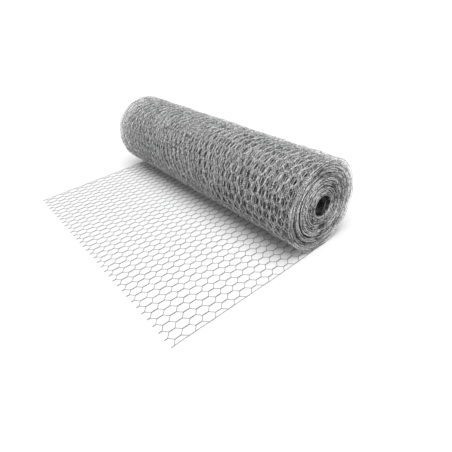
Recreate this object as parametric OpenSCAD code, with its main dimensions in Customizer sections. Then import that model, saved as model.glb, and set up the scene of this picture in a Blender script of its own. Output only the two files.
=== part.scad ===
// Roll of hexagonal wire netting, lying on its side with its free end unrolled on the floor.
// Millimetres. X runs along the roll, +Z is up, and the unrolled end points towards -Y.
// The origin is on the floor, in the middle of the space that the roll and its free end take up.
// The wound turns are one turned solid. The flat free end has its real cells, in three panels.
// It starts half a row behind the line below the roll's axis, so that the roll lies on it.

/* [Netting] */
// Width of the netting over its edge wires, which is also the length of the roll
netting_w = 900; // [600:50:1200]
// Distance between the twisted sides of a cell, rounded so that whole cells fill the width
cell_w = 26.4; // [20:0.2:34]
// Length of a twisted side
twist_len = 17.5; // [13:0.5:24]
// Length along the netting of the slanting wires between two rows of twists
slant_len = 10.25; // [7:0.25:14]
// Diameter of the wire with its zinc
wire_d = 1.1; // [0.6:0.1:1.3]

/* [Roll] */
// Outside diameter of the wound turns
roll_d = 256; // [180:2:300]
// Diameter of the open middle
bore_d = 52; // [40:2:80]
// Distance from one turn to the next
turn_pitch = 2; // [1.8:0.1:3]
// Depth of the groove between two turns on the ends
groove_depth = 1.2; // [0.6:0.1:2]
// How far the unevenly wound turns stand back from the ends
turn_stagger = 2.4; // [0:0.2:4]

/* [Free end] */
// Rows of cells in each of the three panels of the free end
rows_per_panel = 6; // [2:1:10]

/* [Hidden] */
galvanised = [0.62, 0.63, 0.64];

// A twist is two wires side by side, and so is an edge wire with the one that is wound round it
twist_w = 2 * wire_d;
sheet_t = twist_w;

// The columns of twists run from the middle of one edge wire to the middle of the other
field_w = netting_w - twist_w;
columns = round(field_w / cell_w);
column_pitch = field_w / columns;
row_pitch = twist_len + slant_len;

// Slope of the slanting wires, and the half width of one measured along the netting
slant_slope = slant_len / (column_pitch / 2);
slant_half = wire_d / 2 * sqrt(1 + slant_slope * slant_slope);

panels = 3;
panel_len = rows_per_panel * row_pitch;
under_len = row_pitch / 2;
free_len = panels * panel_len - under_len;

roll_r = roll_d / 2;
bore_r = bore_d / 2;
roll_y = (free_len - roll_r) / 2;
roll_z = sheet_t + roll_r;

turns = round((roll_r - bore_r) / turn_pitch);
turn_w = (roll_r - bore_r) / turns;
turn_gap = turn_w - wire_d;
stagger_step = 47;
round_fn = 96;

// How far from the middle of the roll turn i ends, where turn 0 is the innermost
function turn_end(i) = netting_w / 2 - turn_stagger * (1 - cos((turns - 1 - i) * stagger_step)) / 2;

// How far from the middle of the roll the bottom of the groove inside turn i is
function groove_end(i) = min(turn_end(max(i - 1, 0)), turn_end(min(i, turns - 1))) - groove_depth;

// One end of the half section, from the bore outwards: a groove, then the flat edge of the turn
function end_profile() = [
    for (i = [0 : turns], side = [0 : i < turns ? 2 : 0])
        let (r = bore_r + i * turn_w)
        side == 0 ? [r, groove_end(i)]
        : side == 1 ? [r + turn_gap / 2, turn_end(i)]
        : [r + turn_w - turn_gap / 2, turn_end(i)]
];

function reversed(list) = [for (i = [len(list) - 1 : -1 : 0]) list[i]];

// Half the length of a cell's opening, at the distance x from its middle line
function opening_half(x) = twist_len / 2 + slant_len - slant_slope * x - slant_half;

// The wound turns, whose edges show as rings on both ends
module netting_roll() {
    near = end_profile();
    far = [for (p = reversed(near)) [p[0], -p[1]]];
    color(galvanised)
        translate([0, roll_y, roll_z])
            rotate([0, 90, 0])
                rotate_extrude($fn = round_fn)
                    polygon(concat(near, far));
}

// The opening of a whole cell, centred
module cell_opening() {
    x = column_pitch / 2 - twist_w / 2;
    polygon([
        [0, opening_half(0)], [x, opening_half(x)], [x, -opening_half(x)],
        [0, -opening_half(0)], [-x, -opening_half(x)], [-x, opening_half(x)]
    ]);
}

// The half opening beside an edge wire. It lies on the side that inward, 1 or -1, points to
module edge_opening(inward) {
    a = twist_w / 2;
    x = column_pitch / 2 - twist_w / 2;
    polygon([
        [inward * a, opening_half(a)], [inward * x, opening_half(x)],
        [inward * x, -opening_half(x)], [inward * a, -opening_half(a)]
    ]);
}

// The openings whose middles lie on line number line, where line 0 is the cut behind the roll
module row_openings(line) {
    shift = line % 2;
    translate([-field_w / 2, under_len - line * row_pitch]) {
        for (i = [0 : columns - 1 - shift])
            translate([(i + (1 + shift) / 2) * column_pitch, 0]) cell_opening();
        if (shift == 1) {
            edge_opening(1);
            translate([field_w, 0]) edge_opening(-1);
        }
    }
}

// One panel of the flat netting, cut off at the middle of its first and last twists
module flat_panel(number) {
    first = number * rows_per_panel;
    color(galvanised)
        translate([0, roll_y, 0])
            linear_extrude(sheet_t)
                difference() {
                    translate([-netting_w / 2, under_len - (number + 1) * panel_len])
                        square([netting_w, panel_len]);
                    for (line = [first : first + rows_per_panel]) row_openings(line);
                }
}

module free_end_root() { flat_panel(0); }
module free_end_middle() { flat_panel(1); }
module free_end_tip() { flat_panel(2); }

netting_roll();
free_end_root();
free_end_middle();
free_end_tip();
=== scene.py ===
# %% [markdown]
# # A roll of chicken wire
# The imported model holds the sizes: one turned solid for the wound turns, and three flat panels for
# the free end. Here both get the looks of the real netting. It could be painted on the solids, as
# a picture of wires with holes between them, but then it would have no thickness and no depth. So
# the netting is made of real wires, and it is wound up as one would wind it by hand. Everything is
# in metres. X runs along the roll, Z is up, and the free end points towards -Y.

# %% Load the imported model
import bpy
import math
from mathutils import Matrix, Vector


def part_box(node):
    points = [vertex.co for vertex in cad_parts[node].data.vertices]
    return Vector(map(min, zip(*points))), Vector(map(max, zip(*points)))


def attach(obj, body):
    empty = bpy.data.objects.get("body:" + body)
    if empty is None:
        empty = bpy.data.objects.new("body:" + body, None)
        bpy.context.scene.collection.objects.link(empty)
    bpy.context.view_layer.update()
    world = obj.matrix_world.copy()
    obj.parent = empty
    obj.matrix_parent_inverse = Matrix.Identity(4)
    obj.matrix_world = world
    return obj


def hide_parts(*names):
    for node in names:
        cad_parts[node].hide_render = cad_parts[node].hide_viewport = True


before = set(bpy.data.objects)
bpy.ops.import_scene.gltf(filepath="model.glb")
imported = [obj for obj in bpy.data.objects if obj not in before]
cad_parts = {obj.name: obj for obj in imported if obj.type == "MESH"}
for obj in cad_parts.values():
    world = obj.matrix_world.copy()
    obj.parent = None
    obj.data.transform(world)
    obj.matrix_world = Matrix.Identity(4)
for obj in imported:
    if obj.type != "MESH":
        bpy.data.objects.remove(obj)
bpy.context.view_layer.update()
roll_low, roll_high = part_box("netting_roll")
tip_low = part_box("free_end_tip")[0]

# %% [markdown]
# ## The sizes of the netting
# Hexagonal netting is woven on a machine from many wires side by side. Two neighbours are twisted
# together for a while, then both part to the sides and are twisted with their other neighbours. So
# the twists of one row stand between those of the next, and every wire keeps to a lane of its own
# that is half a cell wide. The numbers are those that the solids were built from. Only the width
# is a little less, because wound turns slide sideways, and the roll is as long as they reach.

# %% Sizes
WIRE_R = 0.00055
TWIST = 0.0175
SLANT = 0.01025
ROW = TWIST + SLANT
PERIOD = 2 * ROW
CELLS = 34
SIDE_ROOM = 0.0044
NETTING_WIDTH = roll_high[0] - roll_low[0] - 2 * SIDE_ROOM
CELL = (NETTING_WIDTH - 2 * WIRE_R) / CELLS
ROLL_R = (roll_high[2] - roll_low[2]) / 2
AXIS_Y = (roll_high[1] + roll_low[1]) / 2
print("cell", round(CELL * 1000, 2), "mm wide, rows", round(ROW * 1000, 2), "mm apart")

# %% [markdown]
# ## The path that it is wound along
# The netting is made flat, and a Curve modifier then bends it along a path: straight along the
# floor, and round and round towards the middle. Each turn lies just inside the last. A real roll
# isn't wound evenly. Its turns lie in bunches with gaps between them, and in a few places they
# stand off each other: loosely on the outside, and as dark crescents in the ends. So the path's
# radius is reckoned point by point, which a ready-made spiral couldn't do.

# %% Radius of the turns
TURNS = 51
TURN_PITCH = 0.00186
# How many turns lie in a bunch, how much of their pitch goes into the gap before the next bunch,
# and over how many turns that gap opens
BUNCH = 3.1
BUNCHED = 0.45
OPENING = 0.8
# Where the turns stand off each other: from which turn, at what part of the way round from the
# bottom, how wide the gap is, and how narrow the place. It takes FADE turns to close again
FADE = 30
LOOSE_PLACES = (
    (0.72, 0.27, 0.0042, 6),
    (3.3, 0.2, 0.0016, 4),
    (10.4, 0.76, 0.0042, 1.5),
    (19.3, 0.74, 0.0046, 1.5),
    (30.6, 0.45, 0.0016, 2),
    (44.2, 0.8, 0.0036, 2),
)
# The middle of the turns lies a little before and below the solid's axis, because the netting
# bulges out at the back and at the top
BEFORE_AXIS = 0.0014
BELOW_AXIS = 0.001
path_middle = (AXIS_Y - BEFORE_AXIS, roll_low[2] - BELOW_AXIS + ROLL_R)
FLAT_Z = WIRE_R * 2
path_r = path_middle[1] - FLAT_Z


def ease(value):
    """From 0 to 1 without a kink, as value goes from 0 to 1."""
    value = min(max(value, 0), 1)
    return value * value * (3 - 2 * value)


def wound_radius(turn):
    """The radius of the path after so many turns, counted from the bottom."""
    bunch, part = divmod(turn, BUNCH)
    bunched = (1 - BUNCHED) * turn + BUNCHED * BUNCH * (bunch + ease(part / OPENING))
    uneven = 0.2 * math.sin(5.3 * turn) + 0.12 * math.sin(9.1 * turn)
    # The three outermost turns lie evenly, and the next four less and less so
    radius = path_r - TURN_PITCH * (turn + (bunched - turn + uneven) * ease((turn - 3) / 4))
    for start, spot, gap, narrow in LOOSE_PLACES:
        here = math.cos((turn - spot) * 2 * math.pi) / 2 + 0.5
        left = ease((turn - start) / 0.5) * (1 - ease((turn - start) / FADE))
        radius -= gap * left * here ** narrow
    return radius


print("last radius", round(wound_radius(TURNS) * 1000, 1), "mm")

# %% [markdown]
# The path is drawn flat, in the XY plane, and the netting is stood up with it at the end. A flat
# curve keeps its bends in its plane, so the netting can't roll over along its length.

# %% Path
# Points in a turn, how far inside the tip the netting starts, and how far before the line under
# the axis its straight run ends
STEPS = 72
TIP_ROOM = 0.002
LAST_FLAT = 0.004


def path_points():
    """The straight run, from a little inside the tip to just short of the axis, and then the turns."""
    points = [(tip_low[1] + TIP_ROOM, FLAT_Z), (path_middle[0] - LAST_FLAT, FLAT_Z)]
    for step in range(TURNS * STEPS + 1):
        turn = step / STEPS
        angle = (turn - 0.25) * 2 * math.pi
        radius = wound_radius(turn)
        along = path_middle[0] + radius * math.cos(angle)
        points.append((along, path_middle[1] + radius * math.sin(angle)))
    return points


points = path_points()
path_data = bpy.data.curves.new("netting_path", "CURVE")
path_data.dimensions = "2D"
spline = path_data.splines.new("POLY")
spline.points.add(len(points) - 1)
for point, (along, up) in zip(spline.points, points):
    point.co = (along, up, 0, 1)
path = bpy.data.objects.new("netting_path", path_data)
bpy.context.collection.objects.link(path)

reach = [0]
for before, after in zip(points, points[1:]):
    reach.append(reach[-1] + math.dist(before, after))
print("length of netting:", round(reach[-1], 2), "m")


def length_at(turn):
    """How far along the path a turn starts."""
    return reach[2 + round(turn * STEPS)]


# %% [markdown]
# ## One wire
# A wire could be a curve with a thickness, but a ring that is extruded from place to place, as if
# the wire were pulled, gives few and even faces. It is turned where the wire bends. At a twist the
# wire winds round its neighbour one way and then back, so that it leaves on the side that it came
# from. That reversal, with a short straight piece in the middle, keeps real netting from springing
# open. Every ring is a station: where it is along, up and across the netting, and how far it is
# turned.

# %% Stations of a wire
def twist_stations(line, side, middle, half_turns, steps, straight):
    """One twist round the line at across = line. side is where the wire is at its middle."""
    shares = [-1 + (1 - straight) * i / steps for i in range(steps)] + [-straight]
    found = []
    for share in shares + [0] + [-share for share in reversed(shares)]:
        turned = max(0, (abs(share) - straight) / (1 - straight)) * half_turns * math.pi
        up = WIRE_R * math.sin(side + turned)
        across = line + WIRE_R * math.cos(side + turned)
        found.append((middle + share * TWIST / 2, up, across))
    return found


def wire_stations(half_turns, steps, straight):
    """One wire over two rows, from the middle of a twist to the middle of the next like it."""
    left = twist_stations(0, math.pi, 0, half_turns, steps, straight)
    right = twist_stations(CELL / 2, 0, ROW, half_turns, steps, straight)
    half = len(left) // 2
    last = [(along + PERIOD, up, across) for along, up, across in left[:half + 1]]
    bend = math.atan2(CELL / 2 - 2 * WIRE_R, SLANT) / 2
    leaves = half + len(right)
    corners = {half: bend, half + 1: bend, leaves: -bend, leaves + 1: -bend}
    stations = left[half:] + right + last
    return [station + (corners.get(i, 0),) for i, station in enumerate(stations)]


def plain_stations():
    """The same wire without its twists: it only runs beside its neighbour there."""
    low = WIRE_R
    high = CELL / 2 - WIRE_R
    bend = math.atan2(high - low, SLANT) / 2
    return [
        (0, 0, low, 0),
        (TWIST / 2, 0, low, bend),
        (ROW - TWIST / 2, 0, high, bend),
        (ROW + TWIST / 2, 0, high, -bend),
        (PERIOD - TWIST / 2, 0, low, -bend),
        (PERIOD, 0, low, 0),
    ]


front_stations = wire_stations(half_turns=3, steps=6, straight=0.2)
turn_stations = wire_stations(half_turns=1, steps=2, straight=0.3)
counts = [len(stations) for stations in (front_stations, turn_stations, plain_stations())]
print("stations of a wire, from the free end to deep in the roll:", counts)

# %% [markdown]
# A wire and its neighbour are the same wire, turned over about the line of their twist, so only one
# is drawn. The free end, which is seen most closely, gets every half turn of its twists. The two
# outer turns of the roll get fewer rings, and the turns under them are only seen through the
# others, so they do without twists.

# %% Pairs of wires
def start_clean():
    """Leaves nothing selected, because an operator acts on all that is."""
    bpy.ops.object.select_all(action="DESELECT")


def draw_wire(name, sides, stations):
    """A ring of wire, extruded from station to station."""
    start_clean()
    along, up, across, turned = stations[0]
    bpy.ops.mesh.primitive_circle_add(
        vertices=sides, radius=WIRE_R, location=(along, up, across), rotation=(0, math.pi / 2, 0))
    wire = bpy.context.object
    wire.name = name
    bpy.ops.object.editmode_toggle()
    bpy.ops.mesh.select_all(action="SELECT")
    for station in stations[1:]:
        step = [after - before for after, before in zip(station, (along, up, across))]
        bpy.ops.mesh.extrude_region_move(TRANSFORM_OT_translate={"value": step})
        if station[3] != turned:
            bpy.ops.transform.rotate(
                value=station[3] - turned, orient_axis="Y", center_override=station[:3])
        along, up, across, turned = station
    bpy.ops.mesh.select_all(action="SELECT")
    bpy.ops.mesh.normals_make_consistent(inside=False)
    bpy.ops.object.editmode_toggle()
    bpy.ops.object.transform_apply(location=True, rotation=True, scale=True)
    return wire


def draw_pair(name, sides, stations):
    """A wire and its neighbour."""
    pair = draw_wire(name, sides, stations)
    bpy.ops.object.editmode_toggle()
    bpy.ops.mesh.select_all(action="SELECT")
    bpy.ops.mesh.duplicate_move()
    bpy.ops.transform.rotate(value=math.pi, orient_axis="X", center_override=(0, 0, CELL / 2))
    bpy.ops.object.editmode_toggle()
    pair["length"] = PERIOD
    print(name, len(pair.data.polygons), "faces")
    return pair


front_pair = draw_pair("front_pair", 4, front_stations)
turn_pair = draw_pair("turn_pair", 4, turn_stations)
deep_pair = draw_pair("deep_pair", 3, plain_stations())
edge_wire = draw_wire("edge_wire", 4, [(i * ROW / 3, 0, 0, 0) for i in range(4)])
edge_wire["length"] = ROW

# %% [markdown]
# ## Flat netting
# The pair of wires is repeated across and along by two Array modifiers, and the second also joins
# the ends of the wires. One piece of netting for the whole roll would be too heavy, so it is made
# in stretches that follow each other along the path.

# %% Stretch of netting
MERGE = 0.00001


def repeat(stretch, name, count, offset):
    """Copies a stretch a number of times."""
    copies = stretch.modifiers.new(name, "ARRAY")
    copies.count = count
    copies.use_relative_offset = False
    copies.use_constant_offset = True
    copies.constant_offset_displace = offset
    return copies


def flat_stretch(source, name, start, repeats, count, column, drawn_out):
    """Flat netting: a source repeated along it, and a count of them side by side from a column on."""
    start_clean()
    stretch = bpy.data.objects.new(name, source.data.copy())
    bpy.context.collection.objects.link(stretch)
    bpy.context.view_layer.objects.active = stretch
    stretch.select_set(True)
    stretch.location = (start, 0, column * CELL)
    stretch.scale = (drawn_out, 1, 1)
    bpy.ops.object.transform_apply(location=True, rotation=True, scale=True)
    if count > 1:
        repeat(stretch, "across", count, (0, 0, CELL))
    joined = repeat(stretch, "along", repeats, (source["length"] * drawn_out, 0, 0))
    joined.use_merge_vertices = True
    joined.merge_threshold = MERGE
    bpy.ops.object.convert(target="MESH")
    return stretch


# %% [markdown]
# ## Out of true
# Netting that has just come off the machine would look drawn with a ruler. In a real roll whole
# turns slide sideways, cells drift and bend, and loose turns bulge. The rows lean too, because one
# edge is pulled harder than the other, so at one end the cells of two turns lie on each other, and
# at the other end one turn fills the cells of the next. Each row could be moved in a loop, but
# Displace modifiers do it for all of them at once: soft clouds say where things move, and vertex
# groups say how much of it each place gets.

# %% Where the netting gives
FULL_WIDTH = CELLS * CELL


def turn_at(along):
    """Which turn of the roll a place along the netting is in, closely enough for the outer turns."""
    return (along - reach[2]) / (reach[2 + STEPS] - reach[2])


def looseness(along, across):
    """Bulging: little on the floor and deep in the roll, most in the outer turns."""
    turn = turn_at(along)
    stiff = 0.5 + 0.5 * ease(across / FULL_WIDTH * 4)
    return (0.4 + 0.6 * ease(turn / 0.25) * (1 - ease((turn - 2) / 3))) * stiff


def freedom(along, across):
    """Drifting: not on the floor, and not at the edge wires."""
    off_middle = across / (FULL_WIDTH / 2) - 1
    return ease(turn_at(along) / 0.5) * max(0, 1 - off_middle ** 6)


def lean(along, across):
    """Leaning: every other turn towards the far edge, and those between towards the near one."""
    turn = turn_at(along)
    part = turn % 2
    even = ease((part - 1) / 0.4) if part > 1 else 1 - ease(part / 0.4)
    far_share = min(max(1 - across / FULL_WIDTH, 0), 1)
    near_lean = 0.8 * (1 - even) * ease((turn - 2) / 0.4) * (1 - far_share)
    return even * ease(turn - 0.5) * far_share + near_lean


# %% Soft clouds
# How far whole turns slide, cells wobble, cells drift together, loose turns bulge and rows lean
SLIP = 0.0056
WAVE = 0.002
DRIFT = 0.013
BULGE = 0.0036
LEAN = 0.024


def soft_noise(name, size, depth):
    """Smooth clouds of a size, for a Displace modifier."""
    clouds = bpy.data.textures.new(name, "CLOUDS")
    clouds.noise_scale = size
    clouds.noise_depth = depth
    return clouds


slip_noise = soft_noise("slip", 0.28, 1)
wave_noise = soft_noise("wave", 0.03, 0)
drift_noise = soft_noise("drift", 0.11, 0)
bulge_noise = soft_noise("bulge", 0.03, 0)
bulge_noise.contrast = 1.8
bulge_noise.use_clamp = True
# What the slip is read from: it changes along the netting only, so a turn slides as a whole
bpy.ops.object.empty_add()
along_only = bpy.context.object
along_only.scale = (1, 1e6, 1e6)
all_clouds = (slip_noise, wave_noise, drift_noise, bulge_noise)
print("sizes of the clouds:", [round(clouds.noise_scale, 2) for clouds in all_clouds])


def displace(stretch, name, axis, strength, noise=None, middle=0.5, group=""):
    """Moves a stretch one way, as far as a noise and a vertex group say."""
    moved = stretch.modifiers.new(name, "DISPLACE")
    moved.texture = noise
    moved.direction = axis
    moved.strength = strength
    moved.mid_level = middle
    moved.vertex_group = group
    return moved


def loosen(stretch):
    """Pulls flat netting out of true."""
    groups = (("loose", looseness), ("inner", freedom), ("leaning", lean))
    for group, share in groups:
        given = stretch.vertex_groups.new(name=group)
        for vertex in stretch.data.vertices:
            given.add((vertex.index,), share(vertex.co.x, vertex.co.z), "REPLACE")
    slip = displace(stretch, "slip", "Z", SLIP, slip_noise)
    slip.texture_coords = "OBJECT"
    slip.texture_coords_object = along_only
    displace(stretch, "wave", "Z", WAVE, wave_noise)
    displace(stretch, "pull", "X", WAVE, wave_noise)
    displace(stretch, "drift", "Z", DRIFT, drift_noise, group="inner")
    displace(stretch, "bulge", "Y", BULGE, bulge_noise, middle=0, group="loose")
    displace(stretch, "lean", "X", -LEAN, middle=0, group="leaning")


# %% [markdown]
# ## Winding it up
# The Curve modifier lays the netting along the path. After that it is stood up on the floor, and
# the cut ends of its wires are closed. The turns of the roll are drawn out by almost a hundredth,
# which settles how the cells of a turn lie over those of the next.

# %% Wind
DRAWN_OUT = 1.008


def wind(source, name, start, repeats, count, column=0, drawn_out=1):
    """Makes a stretch of netting and winds it along the path."""
    stretch = flat_stretch(source, name, start, repeats, count, column, drawn_out)
    loosen(stretch)
    bend = stretch.modifiers.new("wind", "CURVE")
    bend.object = path
    bend.deform_axis = "POS_X"
    for modifier in list(stretch.modifiers):
        bpy.ops.object.modifier_apply(modifier=modifier.name)
    stretch.location = (-NETTING_WIDTH / 2 + WIRE_R, 0, 0)
    stretch.rotation_euler = (math.pi / 2, 0, math.pi / 2)
    bpy.ops.object.transform_apply(location=True, rotation=True, scale=True)
    bpy.ops.object.editmode_toggle()
    bpy.ops.mesh.select_all(action="SELECT")
    bpy.ops.mesh.fill_holes(sides=4)
    bpy.ops.object.editmode_toggle()
    bpy.ops.object.shade_smooth()
    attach(stretch, "root")
    print(name, sum(len(face.vertices) - 2 for face in stretch.data.polygons), "triangles")
    return stretch


# %% [markdown]
# The free end is flat up to the line under the roll's axis, and its nine periods end just past
# it. Fourteen turns are wound whole. Through their cells nothing shows but more wires, so of the
# turns under them only the two cells at each edge are made, which are the rings in the ends of the
# roll. The edge wires run on from the tip to the bore.

# %% Netting
FREE_PERIODS = 9
WHOLE_TURNS = 14
EDGE_CELLS = 2
flat_pieces = [wind(front_pair, "free_netting", 0, FREE_PERIODS, CELLS)]
wound_pieces = []
stretches = (
    (turn_pair, "outer_turn", 1),
    (turn_pair, "second_turn", 2),
    (deep_pair, "third_to_fifth_turn", 5),
    (deep_pair, "sixth_to_ninth_turn", 9),
    (deep_pair, "last_whole_turns", WHOLE_TURNS),
)
reached = FREE_PERIODS * PERIOD
wound_period = PERIOD * DRAWN_OUT
for pair, name, last in stretches:
    repeats = round((length_at(last) - reached) / wound_period)
    wound_pieces.append(wind(pair, name, reached, repeats, CELLS, drawn_out=DRAWN_OUT))
    reached += repeats * wound_period
repeats = int((length_at(TURNS) - reached) / wound_period)
for name, column in (("far_edge_turns", 0), ("near_edge_turns", CELLS - EDGE_CELLS)):
    wound_pieces.append(wind(deep_pair, name, reached, repeats, EDGE_CELLS, column, DRAWN_OUT))

# %% Edge wires
flat_rows = FREE_PERIODS * 2
wound_rows = int((length_at(TURNS) - flat_rows * ROW) / ROW)
for side, column in (("far", 0), ("near", CELLS)):
    flat_pieces.append(wind(edge_wire, f"{side}_edge_tail", 0, flat_rows, 1, column))
    wound_pieces.append(wind(edge_wire, f"{side}_edge_wire", flat_rows * ROW, wound_rows, 1, column))

# %% [markdown]
# ## The core
# Behind the whole turns lie some forty more, of which one only sees crossing wires in the dark.
# Real wires there would be half a million triangles more, so a tube stands for them. Its wires are
# drawn by its finish. It starts as a cylinder, whose ends are inset to the bore and bridged through
# it. It is shorter than the roll, so that its ends lie hidden behind the edge turns.

# %% Core
# How far the core keeps from the whole turns, from the innermost turn and from the ends
CORE_UNDER = 0.002
CORE_OVER = 0.0012
CORE_SETBACK = 1.6 * CELL
core_outer = wound_radius(WHOLE_TURNS) - CORE_UNDER
core_inner = wound_radius(TURNS) + CORE_OVER
start_clean()
bpy.ops.mesh.primitive_cylinder_add(
    vertices=96, radius=core_outer, depth=NETTING_WIDTH - 2 * CORE_SETBACK,
    location=(0, path_middle[0], path_middle[1]), rotation=(0, math.pi / 2, 0))
core = bpy.context.object
core.name = "roll_core"
bpy.ops.object.editmode_toggle()
bpy.ops.mesh.select_mode(type="FACE")
bpy.ops.mesh.select_all(action="DESELECT")
bpy.ops.object.editmode_toggle()
for face in core.data.polygons:
    face.select = len(face.vertices) > 4
bpy.ops.object.editmode_toggle()
bpy.ops.mesh.inset(thickness=core_outer - core_inner)
bpy.ops.mesh.bridge_edge_loops()
bpy.ops.object.editmode_toggle()
bpy.ops.object.transform_apply(location=True, rotation=True, scale=True)
bpy.ops.object.shade_smooth_by_angle(angle=math.radians(40))
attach(core, "root")
print("core", len(core.data.polygons), "faces, inner radius", round(core_inner * 1000, 1), "mm")

# %% Hide the imported parts that the pieces stand for
for piece in flat_pieces:
    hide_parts("free_end_root", "free_end_middle", "free_end_tip")
for piece in wound_pieces + [core]:
    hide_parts("netting_roll")
for helper in (front_pair, turn_pair, deep_pair, edge_wire, path, along_only):
    bpy.data.objects.remove(helper)
print(len(flat_pieces), "pieces stand for the free end and", len(wound_pieces) + 1, "for the roll")

# %% [markdown]
# ## Finishes
# A finish is reckoned from the place on the object. Python's own operators do that here: the small
# class below wraps a socket, and each operator adds the Math node that does its sum, so that a
# finish reads like a formula and not like a long list of nodes and links.

# %% Shader maths
class Value:
    """A socket that can be reckoned with."""

    def __init__(self, tree, socket):
        self.tree = tree
        self.socket = socket

    def node(self, kind, settings=None, **sockets):
        """Adds a node. Its sockets go by name, or by i and their number where names repeat."""
        made = self.tree.nodes.new(kind)
        for key, setting in (settings or {}).items():
            setattr(made, key, setting)
        for key, value in sockets.items():
            numbered = key[0] == "i" and key[1:].isdigit()
            target = made.inputs[int(key[1:])] if numbered else made.inputs[key]
            if isinstance(value, Value):
                self.tree.links.new(value.socket, target)
            else:
                target.default_value = value
        return made

    def value(self, output, kind, settings=None, **sockets):
        """Adds a node and gives one of its outputs."""
        return Value(self.tree, self.node(kind, settings, **sockets).outputs[output])

    def maths(self, operation, other=0.0, swap=False):
        """Adds a Math node. swap puts the other value before this one."""
        first, second = (other, self) if swap else (self, other)
        return self.value(0, "ShaderNodeMath", {"operation": operation}, i0=first, i1=second)

    def __add__(self, other):
        return self.maths("ADD", other)

    def __radd__(self, other):
        return self.maths("ADD", other, swap=True)

    def __sub__(self, other):
        return self.maths("SUBTRACT", other)

    def __rsub__(self, other):
        return self.maths("SUBTRACT", other, swap=True)

    def __mul__(self, other):
        return self.maths("MULTIPLY", other)

    def __rmul__(self, other):
        return self.maths("MULTIPLY", other, swap=True)

    def __truediv__(self, other):
        return self.maths("DIVIDE", other)

    def __rtruediv__(self, other):
        return self.maths("DIVIDE", other, swap=True)

    def __pow__(self, other):
        return self.maths("POWER", other)

    def __abs__(self):
        return self.maths("ABSOLUTE")

    def least(self, other):
        """The smaller of this and another value."""
        return self.maths("MINIMUM", other)

    def most(self, other):
        """The greater of this and another value."""
        return self.maths("MAXIMUM", other)

    def noise(self, scale, detail=1.0):
        """Soft noise, read at the place that this value holds."""
        return self.value(0, "ShaderNodeTexNoise", Vector=self, Scale=scale, Detail=detail)

    def feed(self, surface, name):
        """Leads this value into a socket of a surface."""
        self.tree.links.new(self.socket, surface.inputs[name])

    def clipped(self):
        """This value, held between 0 and 1."""
        return self.least(1.0).most(0.0)

    def mix(self, first, second):
        """A colour that goes from first to second as this value goes from 0 to 1."""
        return self.value(2, "ShaderNodeMix", {"data_type": "RGBA"}, i0=self, i6=first, i7=second)


def new_finish(name):
    """A material, the place on the object that it starts from, and its surface node."""
    finish = bpy.data.materials.new(name)
    finish.use_nodes = True
    tree = finish.node_tree
    place = Value(tree, tree.nodes.new("ShaderNodeTexCoord").outputs["Object"])
    return finish, place, tree.nodes["Principled BSDF"]


# %% [markdown]
# ## Zinc
# Zinc on steel wire is a dull, light grey metal. It is darker in patches, where it has weathered, and
# it glitters, because every bend and twist of a wire throws back a bright or a dark speck. These
# glints are painted into the colour: one broad and one fine noise make the patches and the painted
# glints, and together they mix two greys. The broad noise sets the shine too. The wires of the free
# end and of the roll are the same zinc, but against a white floor the thin wires of the free end look
# darker than those of the roll, so the free end gets darker greys as painted shade, and the roll
# lighter ones as painted light.

# %% Zinc
def zinc(place, glint_place, surface, dark, light, glitter=3.0, painted_light=0.0):
    """Mixes the greys of zinc, painted glints and painted light, and sets its shine. glitter is how
    strong the painted glints are.
    """
    patches = place.noise(28.0, detail=2.0)
    # Painted glints: a fine noise of bright and dark specks in the colour
    painted_glints = glint_place.noise(280.0)
    (0.3 + 0.25 * patches).feed(surface, "Roughness")
    surface.inputs["Metallic"].default_value = 0.2
    return (patches + (painted_glints - 0.5) * glitter + painted_light).mix(dark, light)


flat_finish, place, surface = new_finish("zinc_of_the_free_end")
grey = zinc(place, place, surface, dark=(0.1, 0.105, 0.11, 1), light=(0.34, 0.345, 0.35, 1))
grey.feed(surface, "Base Color")
print("made the finish of the free end")

# %% [markdown]
# ## Zinc of the roll
# Light falls into the roll only through the cells of its outer turns, so the wires get darker with
# the depth. Real shade does the first part of that. The finish adds, as painted shade, what the
# missing inner turns would have done, and less of it at the top, where more light comes in. The
# outermost turn is painted a little darker too, as painted shade, or its cells would stand out too
# much from those behind them. In the ends of the roll, dark lines round the middle are painted shade
# in the gaps between bunches of turns, and the ends are painted lighter, as painted light.
#
# One looks through many turns at once, and if each had painted glints of its own, they would even out
# to a plain grey. So the painted glints are spread from the axis outwards, and every turn shows those
# of the outermost one. At the ends they run along the axis instead, for there one looks along it.

# %% Zinc of the roll
def from_axis(place):
    """The place from the roll's axis: along it, across it and up, and how far it is away."""
    middle = (0, path_middle[0], path_middle[1])
    centred = place.value(0, "ShaderNodeVectorMath", {"operation": "SUBTRACT"}, i0=place, i1=middle)
    parts = place.node("ShaderNodeSeparateXYZ", Vector=centred).outputs
    x, y, z = (Value(place.tree, part) for part in parts)
    return x, y, z, (y * y + z * z) ** 0.5


# How far under the outside the outermost turn reaches and the dark starts, and how far in from
# the ends and from the bore the light still falls
OUTERMOST = 0.0045
DARK_FROM = 0.008
LIT_END = 0.008
LIT_BORE = 0.006


def depth_inside(x, z, radius):
    """How much painted shade a place gets. Each 1 of it makes the place 2.7 times darker.

    The factors say how much there is of it in a metre.
    """
    # Painted shade: a little on the outermost turn, and more under the fourth turn, less at the top
    outermost_turn = (radius - ROLL_R + OUTERMOST).most(0.0) * 90.0
    under_fourth_turn = (ROLL_R - DARK_FROM - radius).most(0.0) * (150.0 - z * 750.0)
    behind_end = (roll_high[0] - LIT_END - abs(x)) * 170.0
    behind_bore = (radius - core_inner + LIT_BORE) * 150.0
    return (outermost_turn + under_fourth_turn).least(behind_end).least(behind_bore).most(0.0)


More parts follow.
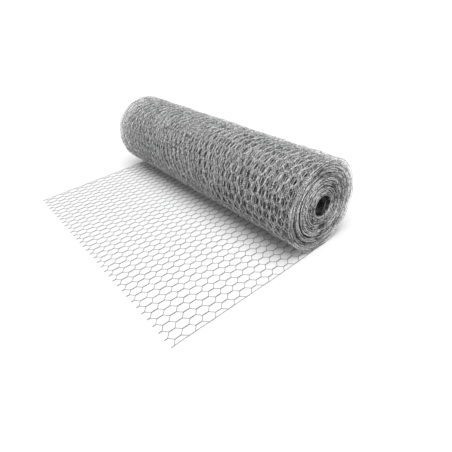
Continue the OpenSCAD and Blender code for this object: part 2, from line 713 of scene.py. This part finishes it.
def rings(place, y, z, radius):
    """The ends of the turns: 1 on a bunch of turns and 0 in a gap, where painted shade goes.

    One noise depends on the radius alone, so its gaps run all the way round. The other changes on
    the way round too, and its gaps are thin lines, where it passes through its middle value.
    """
    turns = place.value(
        0, "ShaderNodeTexNoise", {"noise_dimensions": "1D"}, W=radius * 260.0, Scale=1.0, Detail=1.0)
    around = place.value(0, "ShaderNodeCombineXYZ", X=radius * 120.0, Y=y / radius, Z=z / radius)
    bunches = around.noise(1.0)
    return (abs(bunches - 0.5) * 16.0).least((turns - 0.3) * 10.0).clipped()


# How far from the roll's middle the look of its ends starts, and how dark the painted shade in the
# gaps is there: a little less at the top, where light falls in
END_FROM = 0.42
GAP_SHADE = 0.93
wound_finish, place, surface = new_finish("zinc_of_the_roll")
x, y, z, radius = from_axis(place)
at_end = ((abs(x) - END_FROM) * 50.0).clipped()
# Painted shade: the colour is darkened towards a near black as this grows
lit = (depth_inside(x, z, radius) * -1.0).maths("EXPONENT")
# Painted shade in the gaps between bunches of turns at the ends of the roll
lit = lit * (1.0 - at_end * (1.0 - rings(place, y, z, radius)) * (GAP_SHADE - z * 1.5))
spread = (ROLL_R / radius) * (1.0 - at_end) + at_end
glint_place = place.value(
    0, "ShaderNodeCombineXYZ", X=x * (1.0 - at_end), Y=y * spread, Z=z * spread)
# Painted light: the roll's zinc is shifted towards its light grey, most at the ends, where the painted
# glints are strongest too
grey = zinc(
    place, glint_place, surface, dark=(0.2, 0.205, 0.21, 1), light=(1, 1, 1, 1),
    glitter=at_end * 14.0 + 4.0, painted_light=at_end * 1.05 + 0.25)
lit.mix((0.03, 0.03, 0.032, 1), grey).feed(surface, "Base Color")
print("made the finish of the roll:", len(place.tree.nodes), "nodes")

# %% [markdown]
# ## The wires of the core
# The core's finish draws the netting of eight turns over each other. In every lane a wire zigzags
# from one side to the other, with straight parts where the twists are. A PINGPONG node goes to and
# fro as a number rises, so one makes the zigzag and another repeats the lanes. Each turn is shifted
# against the last and is painted darker, as painted shade of the deeper turns, and a little noise
# keeps the lines from being straight. The near black between the lines is painted shade too, and on
# the side of the bore the lines are painted darker still.

# %% Inner wires
DRAWN_WIRE = 0.0009
DRAWN_TURNS = 8
PERIODS_ROUND_BORE = 3.0
PERIODS_ROUND_OUTSIDE = 11.0
BORE_LIGHT = 0.15


def net_lines(column, row):
    """The wires of one turn. column counts cells across and row counts periods along."""
    zigzag = (row * 2.0).maths("PINGPONG", 1.0) * 2.0 - 1.0
    lane = (zigzag * (ROW / SLANT)).least(1.0).most(-1.0) * 0.25
    left = (column - lane).maths("PINGPONG", 0.5)
    right = (column + lane + 0.5).maths("PINGPONG", 0.5)
    return (1.0 - left.least(right) * (CELL / DRAWN_WIRE)).most(0.0)


core_finish, place, surface = new_finish("inner_wires")
x, y, z, radius = from_axis(place)
outside = radius.maths("GREATER_THAN", (core_outer + core_inner) / 2)
periods = outside * (PERIODS_ROUND_OUTSIDE - PERIODS_ROUND_BORE) + PERIODS_ROUND_BORE
around = y.maths("ARCTAN2", z) * (0.5 / math.pi) * periods
across = x * (1 / CELL)
strays = place.noise(30.0)
lines = net_lines(across + strays * 0.3, around)
# Painted shade: each deeper drawn turn is darker
for number in range(1, DRAWN_TURNS):
    shifted = across + strays * 0.3 + number * 0.37
    turned = around + strays * 0.2 + number * 0.29
    lines = lines.most(net_lines(shifted, turned) * (1 - 0.1 * number))
# Painted shade: the lines on the side of the bore are darker
lines = lines * (outside * (1 - BORE_LIGHT) + BORE_LIGHT)
# Painted shade: a near black between the drawn wires
lines.mix((0.01, 0.01, 0.01, 1), (0.6, 0.605, 0.61, 1)).feed(surface, "Base Color")
surface.inputs["Roughness"].default_value = 0.8
print("made the finish of the core:", len(place.tree.nodes), "nodes")

# %% Put the finishes on
finishes = ((flat_pieces, flat_finish), (wound_pieces, wound_finish), ([core], core_finish))
for pieces, finish in finishes:
    for piece in pieces:
        piece.data.materials.clear()
        piece.data.materials.append(finish)
    print(finish.name, "on", len(pieces), "pieces")

# %% [markdown]
# ## Floor, sky and lamp
# The roll lies on a plain white floor under a plain white sky. Both are white to the camera and in
# the shine of the wires, and are dimmer to everything else, so that the shade between the turns
# stays dark. A broad lamp, nearly overhead and a little towards the near end, gives the soft shadow
# at the foot of the roll.

# %% Floor
DIM_FLOOR = 0.55
DIM_SKY = 0.35
BELOW_NETTING = 0.0003


def seen_directly(tree):
    """1 for the camera and for a shine, and 0 for the light that things give each other."""
    ray = tree.nodes.new("ShaderNodeLightPath")
    return Value(tree, ray.outputs["Is Camera Ray"]) + Value(tree, ray.outputs["Is Glossy Ray"])


start_clean()
bpy.ops.mesh.primitive_plane_add(size=200, location=(0, 0, -BELOW_NETTING))
floor = bpy.context.object
floor.name = "floor"
floor_finish, place, surface = new_finish("white_floor")
white = seen_directly(place.tree).mix((DIM_FLOOR, DIM_FLOOR, DIM_FLOOR, 1), (1, 1, 1, 1))
white.feed(surface, "Base Color")
surface.inputs["Roughness"].default_value = 1
surface.inputs["Specular IOR Level"].default_value = 0
floor.data.materials.append(floor_finish)
print("made the floor")

# %% Sky and lamp
LAMP_FROM = (0.27, -0.1, 0.955)
scene = bpy.context.scene
world = bpy.data.worlds.new("sky")
world.use_nodes = True
sky = world.node_tree.nodes["Background"]
sky.inputs["Color"].default_value = (1, 1, 1, 1)
strength = seen_directly(world.node_tree) * (1 - DIM_SKY) + DIM_SKY
strength.feed(sky, "Strength")
scene.world = world
scene.view_settings.view_transform = "Standard"

start_clean()
bpy.ops.object.light_add(type="SUN")
lamp = bpy.context.object
lamp.rotation_euler = Vector(LAMP_FROM).to_track_quat("Z", "Y").to_euler()
lamp.data.energy = 2.4
lamp.data.angle = math.radians(45)
print("lamp of strength", round(lamp.data.energy, 1), "and a sky of", DIM_SKY)

# %% [markdown]
# ## Camera
# The camera stands where the photograph was taken from. Its angles, its place and its focal length
# come from points of the roll and the free end that were matched in a picture 452 pixels wide.

# %% Camera
PICTURE = 452
FOCAL = 376.7
SENSOR = 36
# Its place from the floor under the middle of the roll, in roll radii
SIDE = 7.417
BEFORE = 5.191
ABOVE = 5.134
azimuth = math.radians(54.57)
elevation = math.radians(34.85)
roll = math.radians(-6.70)
bpy.ops.object.camera_add()
camera = bpy.context.object
camera.data.sensor_width = SENSOR
camera.data.lens = SENSOR * FOCAL / PICTURE
camera.data.clip_start = 0.01
camera.location = (SIDE * ROLL_R, AXIS_Y - BEFORE * ROLL_R, ABOVE * ROLL_R)
level = math.cos(elevation)
look = Vector((-math.sin(azimuth) * level, math.cos(azimuth) * level, -math.sin(elevation)))
right = Vector((math.cos(azimuth), math.sin(azimuth), 0))
up = right.cross(look)
rolled_right = right * math.cos(roll) + up * math.sin(roll)
rolled_up = -right * math.sin(roll) + up * math.cos(roll)
camera.rotation_euler = Matrix((rolled_right, rolled_up, -look)).transposed().to_euler()
scene.camera = camera
print("camera at", [round(v, 3) for v in camera.location], "lens", round(camera.data.lens, 1), "mm")
